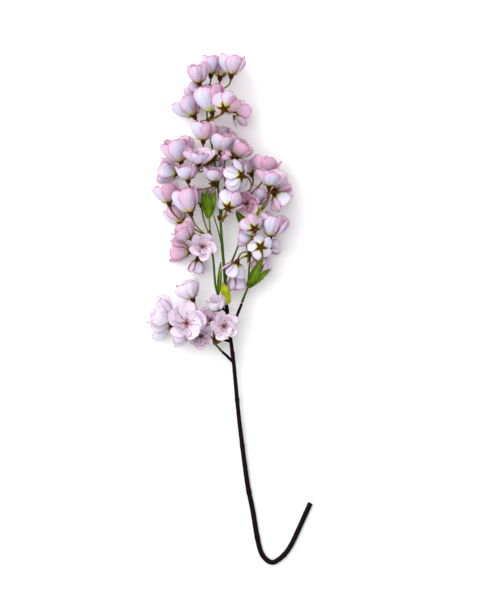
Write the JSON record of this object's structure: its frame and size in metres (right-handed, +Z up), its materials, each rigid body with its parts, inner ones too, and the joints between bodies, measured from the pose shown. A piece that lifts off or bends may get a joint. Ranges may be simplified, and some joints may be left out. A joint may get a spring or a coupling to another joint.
{
  "type": "japanese cherry blossom spray",
  "caption": "Cut flowering branch of Japanese cherry with a hooked bare stem, green shoots, young leaves and crowded pale pink half-double blooms, lying flat.",
  "frame": {"origin": "centre of the bounding box in plan, on the table the spray lies on", "axes": "+Y along the branch from its hooked cut end to the flowering tip, +X across it to the right of the flowers when the spray is seen from above, +Z up from the table"},
  "size_m": [0.1827, 0.5622, 0.0784],
  "materials": {
    "bark": "matt, near-black brown bark with a purple sheen",
    "green": "satin, living green stalks and leaves",
    "petal": "soft, thin and translucent, pale pink"
  },
  "bodies": {
    "root": {"branch": "bark", "crest_bloom_1": "petal", "crest_bloom_2": "petal", "crest_bloom_3": "petal", "crest_bloom_4": "petal", "crest_bloom_5": "petal", "upper_bloom_1": "petal", "upper_bloom_2": "petal", "upper_bloom_3": "petal", "upper_bloom_4": "petal", "middle_bloom_1": "petal", "middle_bloom_2": "petal", "middle_bloom_3": "petal", "middle_bloom_4": "petal", "middle_bloom_5": "petal", "middle_bloom_6": "petal", "inner_bloom_1": "petal", "inner_bloom_2": "petal", "inner_bloom_3": "petal", "right_bloom_1": "petal", "right_bloom_2": "petal", "right_bloom_3": "petal", "right_bloom_4": "petal", "heart_bloom_1": "petal", "outer_bloom_1": "petal", "outer_bloom_2": "petal", "outer_bloom_3": "petal", "outer_bloom_4": "petal", "outer_bloom_5": "petal", "outer_bloom_6": "petal", "outer_bloom_7": "petal", "leading_shoot": "green", "left_bloom_1": "petal", "left_bloom_2": "petal", "left_bloom_3": "petal", "left_bloom_4": "petal", "left_bloom_5": "petal", "left_bloom_6": "petal", "left_bloom_7": "petal", "left_bloom_8": "petal", "left_shoot": "green", "low_right_bloom_1": "petal", "low_right_bloom_2": "petal", "low_right_bloom_3": "petal", "low_right_bloom_4": "petal", "low_right_bloom_5": "petal", "low_right_bloom_6": "petal", "low_right_bloom_7": "petal", "low_right_bloom_8": "petal", "right_shoot": "green", "low_near_bloom_1": "petal", "low_near_bloom_2": "petal", "low_near_bloom_3": "petal", "low_near_bloom_4": "petal", "low_left_bloom_1": "petal", "low_left_bloom_2": "petal", "low_left_bloom_3": "petal", "low_left_bloom_4": "petal", "low_left_bloom_5": "petal", "low_shoot": "green"}
  },
  "joints": []
}
